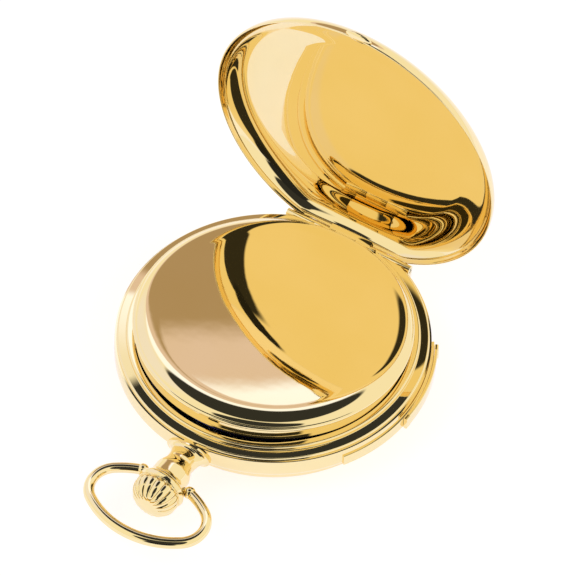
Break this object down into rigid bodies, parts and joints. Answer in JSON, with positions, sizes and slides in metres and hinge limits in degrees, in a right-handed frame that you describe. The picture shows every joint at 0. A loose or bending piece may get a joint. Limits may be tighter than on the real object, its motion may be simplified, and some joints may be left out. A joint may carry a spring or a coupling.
{
  "type": "pocket watch",
  "caption": "Hunting-case repeater pocket watch with hinged covers, dished inner dust cover, fluted crown, oval bow, slide on the band and a striking movement with two gongs.",
  "frame": {"origin": "where the case axis meets the flat of the front cover that the watch lies on", "axes": "+Z from the dial side to the back of the watch, -Y towards the pendant and crown, +X towards the repeating slide"},
  "size_m": [0.0559, 0.0783, 0.0627],
  "materials": {
    "gold": "mirror polished",
    "movement_steel": "polished",
    "nickel": "damascened",
    "blued_steel": "blued",
    "gilt_brass": "satin",
    "enamel": "fired enamel",
    "crystal": "clear",
    "ruby": "polished",
    "black_steel": "polished"
  },
  "bodies": {
    "case": {"case_band": "gold", "back_hinge_pin": "gold", "front_hinge_pin": "gold", "bezel": "gold", "crystal": "crystal", "lift_spring": "movement_steel", "lock_spring": "movement_steel", "case_screws": "blued_steel", "pendant": "gold", "slide_rail": "gold", "main_plate": "nickel", "barrel_bridge": "nickel", "train_bridge": "nickel", "strike_bridge": "nickel", "balance_cock": "nickel", "fork_cock": "nickel", "hairspring": "blued_steel", "regulator": "movement_steel", "bridge_jewels": "ruby", "bridge_screws": "blued_steel", "hammer_springs": "blued_steel", "gong_block": "movement_steel", "high_gong": "blued_steel", "low_gong": "blued_steel", "dial": "enamel"},
    "back_cover": {"back_cover": "gold"},
    "inner_hinge_pin": {"inner_hinge_pin": "gold"},
    "inner_cover": {"inner_cover": "gold"},
    "front_cover": {"front_cover": "gold"},
    "bow": {"bow": "gold"},
    "stem_detent": {"stem_detent": "movement_steel"},
    "crown": {"crown": "gold", "winding_stem": "movement_steel"},
    "slide": {"repeater_slide": "gold", "repeating_rack": "movement_steel"},
    "mainspring_barrel": {"mainspring_barrel": "gilt_brass"},
    "ratchet_wheel": {"ratchet_wheel": "movement_steel"},
    "crown_wheel": {"crown_wheel": "movement_steel"},
    "click": {"click": "movement_steel"},
    "centre_wheel": {"centre_wheel": "gilt_brass"},
    "third_wheel": {"third_wheel": "gilt_brass"},
    "fourth_wheel": {"fourth_wheel": "gilt_brass", "seconds_hand": "black_steel"},
    "escape_wheel": {"escape_wheel": "movement_steel"},
    "pallet_fork": {"pallet_fork": "movement_steel"},
    "balance_wheel": {"balance_wheel": "gilt_brass"},
    "strike_wheel": {"strike_wheel": "gilt_brass"},
    "strike_governor": {"strike_governor": "gilt_brass"},
    "hour_hammer": {"hour_hammer": "movement_steel"},
    "quarter_hammer": {"quarter_hammer": "movement_steel"},
    "minute_work": {"cannon_pinion": "movement_steel", "quarter_snail": "movement_steel", "minute_hand": "black_steel"},
    "minute_wheel": {"minute_wheel": "gilt_brass"},
    "hour_work": {"hour_wheel": "gilt_brass", "hour_snail": "movement_steel", "hour_hand": "black_steel"}
  },
  "joints": [
    {"name": "back_cover_hinge", "type": "hinge", "parent": "case", "child": "back_cover", "pos_m": [0, 0.0253, 0.00905], "axis": [-1, 0, 0], "range_deg": [-90, 0]},
    {"name": "inner_cover_press", "type": "hinge", "parent": "case", "child": "inner_hinge_pin", "pos_m": [0, 0.02375, 0.01135], "axis": [-1, 0, 0], "range_deg": [-3.5, 0]},
    {"name": "inner_cover_hinge", "type": "hinge", "parent": "inner_hinge_pin", "child": "inner_cover", "pos_m": [0, 0.02375, 0.01135], "axis": [-1, 0, 0], "range_deg": [0, 80]},
    {"name": "front_cover_hinge", "type": "hinge", "parent": "case", "child": "front_cover", "pos_m": [0, 0.025, 0.00455], "axis": [1, 0, 0], "range_deg": [0, 88]},
    {"name": "bow_hinge", "type": "hinge", "parent": "case", "child": "bow", "pos_m": [0, -0.0346, 0.007], "axis": [1, 0, 0], "range_deg": [-95, 95]},
    {"name": "crown_pull", "type": "slide", "parent": "case", "child": "stem_detent", "axis": [0, -1, 0], "range_m": [0, 0.0009]},
    {"name": "crown_turn", "type": "hinge", "parent": "stem_detent", "child": "crown", "pos_m": [0, -0.038, 0.007], "axis": [0, 1, 0], "continuous": true},
    {"name": "crown_wheel_turn", "type": "hinge", "parent": "case", "child": "crown_wheel", "pos_m": [0, -0.00717, 0.009], "axis": [0, 0, 1], "continuous": true},
    {"name": "ratchet_turn", "type": "hinge", "parent": "case", "child": "ratchet_wheel", "pos_m": [-0.0087, -0.00406, 0.01], "axis": [0, 0, 1], "continuous": true},
    {"name": "click_pivot", "type": "hinge", "parent": "case", "child": "click", "pos_m": [-0.0124, 0.00235, 0.01], "axis": [0, 0, 1], "range_deg": [0, 8], "stiffness_Nm_per_rad": 0.00002},
    {"name": "slide_travel", "type": "hinge", "parent": "case", "child": "slide", "pos_m": [0, 0, 0.007], "axis": [0, 0, -1], "range_deg": [0, 26], "stiffness_Nm_per_rad": 0.01},
    {"name": "strike_wheel_turn", "type": "hinge", "parent": "case", "child": "strike_wheel", "pos_m": [-0.00183, 0.01489, 0.008], "axis": [0, 0, -1], "range_deg": [0, 338]},
    {"name": "governor_turn", "type": "hinge", "parent": "case", "child": "strike_governor", "pos_m": [-0.0126, 0.0096, 0.008], "axis": [0, 0, 1], "continuous": true},
    {"name": "hour_hammer_pivot", "type": "hinge", "parent": "case", "child": "hour_hammer", "pos_m": [0.00887, 0.0167, 0.008], "axis": [0, 0, -1], "range_deg": [-8, 5], "stiffness_Nm_per_rad": 0.0001},
    {"name": "quarter_hammer_pivot", "type": "hinge", "parent": "case", "child": "quarter_hammer", "pos_m": [0.01425, 0.01196, 0.008], "axis": [0, 0, 1], "range_deg": [-8, 5], "stiffness_Nm_per_rad": 0.0001},
    {"name": "fourth_wheel_turn", "type": "hinge", "parent": "case", "child": "fourth_wheel", "pos_m": [0.0102, 0, 0.008], "axis": [0, 0, 1], "continuous": true},
    {"name": "third_wheel_turn", "type": "hinge", "parent": "case", "child": "third_wheel", "pos_m": [0.00651, 0.00621, 0.008], "axis": [0, 0, 1], "continuous": true},
    {"name": "centre_wheel_turn", "type": "hinge", "parent": "case", "child": "centre_wheel", "pos_m": [0, 0, 0.008], "axis": [0, 0, 1], "continuous": true},
    {"name": "barrel_turn", "type": "hinge", "parent": "case", "child": "mainspring_barrel", "pos_m": [-0.0087, -0.00406, 0.008], "axis": [0, 0, 1], "continuous": true},
    {"name": "escape_wheel_turn", "type": "hinge", "parent": "case", "child": "escape_wheel", "pos_m": [0.0129, -0.00467, 0.008], "axis": [0, 0, 1], "continuous": true},
    {"name": "fork_pivot", "type": "hinge", "parent": "case", "child": "pallet_fork", "pos_m": [0.01097, -0.00879, 0.008], "axis": [0, 0, 1], "range_deg": [-4, 4]},
    {"name": "balance_swing", "type": "hinge", "parent": "case", "child": "balance_wheel", "pos_m": [0.00947, -0.01201, 0.008], "axis": [0, 0, 1], "range_deg": [-135, 135], "stiffness_Nm_per_rad": 0.000001},
    {"name": "minute_hand_turn", "type": "hinge", "parent": "case", "child": "minute_work", "pos_m": [0, 0, 0.004], "axis": [0, 0, -1], "continuous": true},
    {"name": "minute_wheel_turn", "type": "hinge", "parent": "case", "child": "minute_wheel", "pos_m": [-0.00374, 0.00216, 0.005], "axis": [0, 0, -1], "continuous": true},
    {"name": "hour_hand_turn", "type": "hinge", "parent": "case", "child": "hour_work", "pos_m": [0, 0, 0.004], "axis": [0, 0, -1], "continuous": true}
  ],
  "couplings": [
    {"joint": "inner_cover_press", "follows": "back_cover_hinge", "ratio": 0.038778},
    {"joint": "crown_wheel_turn", "follows": "crown_turn", "ratio": 0.5},
    {"joint": "ratchet_turn", "follows": "crown_turn", "ratio": -0.34},
    {"joint": "strike_wheel_turn", "follows": "slide_travel", "ratio": 13},
    {"joint": "third_wheel_turn", "follows": "fourth_wheel_turn", "ratio": -0.13333},
    {"joint": "centre_wheel_turn", "follows": "fourth_wheel_turn", "ratio": 0.016667},
    {"joint": "barrel_turn", "follows": "fourth_wheel_turn", "ratio": -0.002381},
    {"joint": "escape_wheel_turn", "follows": "fourth_wheel_turn", "ratio": -10},
    {"joint": "minute_wheel_turn", "follows": "minute_hand_turn", "ratio": -0.33333},
    {"joint": "hour_hand_turn", "follows": "minute_hand_turn", "ratio": 0.083333}
  ]
}
